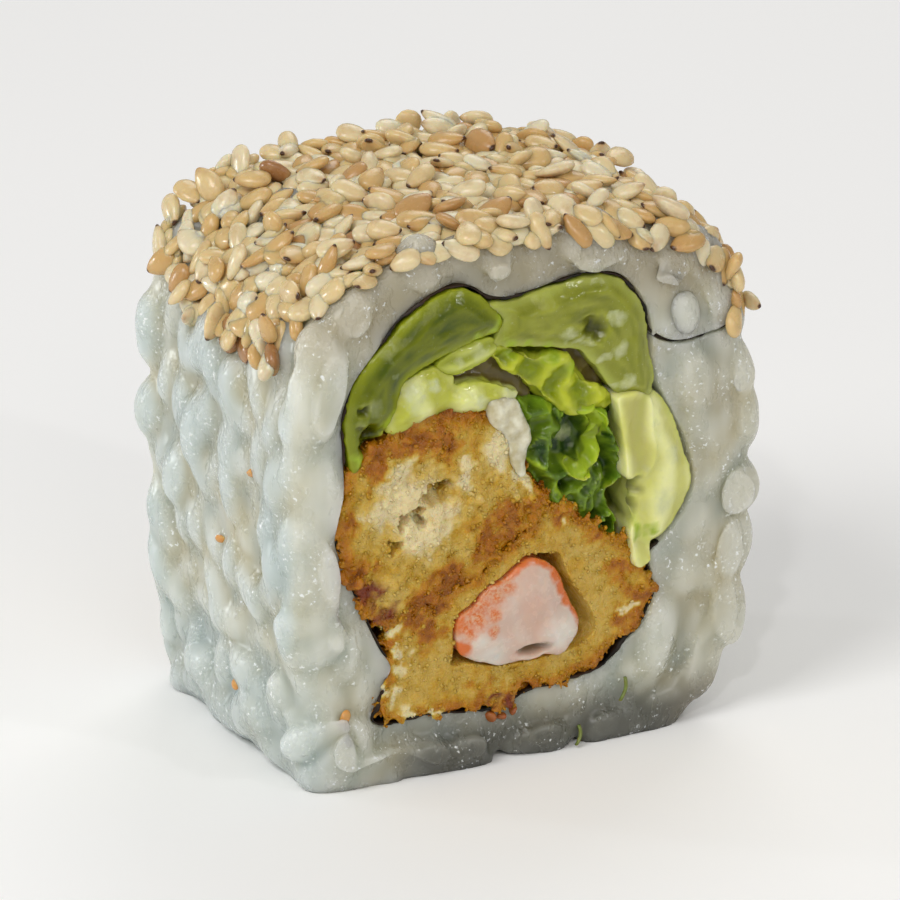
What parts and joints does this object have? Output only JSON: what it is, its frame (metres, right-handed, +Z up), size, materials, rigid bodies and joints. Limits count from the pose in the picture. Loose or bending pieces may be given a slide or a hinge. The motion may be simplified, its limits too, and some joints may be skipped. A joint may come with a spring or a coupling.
{
  "type": "uramaki roll slice",
  "caption": "Thick slice of an inside-out sushi roll: rice and sesame outside, seaweed, lettuce and breaded prawn inside.",
  "frame": {"origin": "centre of the underside, on the surface that the slice stands on", "axes": "+Z up; Y along the roll, with the shown cut face at -Y; X across the cut face"},
  "size_m": [0.042, 0.0294, 0.0454],
  "materials": {
    "rice": "moist cooked rice, soft sheen",
    "nori": "damp seaweed, dull",
    "coat_upper": "fried crumbs, rough",
    "coat_lower": "fried crumbs, rough",
    "prawn": "moist cooked flesh",
    "rib_left": "wet lettuce rib",
    "rib_right": "wet lettuce rib",
    "leaf_pale": "wet pale lettuce",
    "rib_inner": "wet pale lettuce",
    "leaf_heart": "wet pale lettuce",
    "leaf_frill": "wet lettuce frill",
    "leaf_dark": "wet dark lettuce",
    "mayonnaise": "smooth and glossy"
  },
  "bodies": {
    "root": {"rice": "rice", "nori": "nori", "coat_upper": "coat_upper", "coat_lower": "coat_lower", "prawn": "prawn", "rib_left": "rib_left", "rib_right": "rib_right", "leaf_pale": "leaf_pale", "rib_inner": "rib_inner", "leaf_heart": "leaf_heart", "leaf_frill": "leaf_frill", "leaf_dark": "leaf_dark", "mayonnaise": "mayonnaise"}
  },
  "joints": []
}
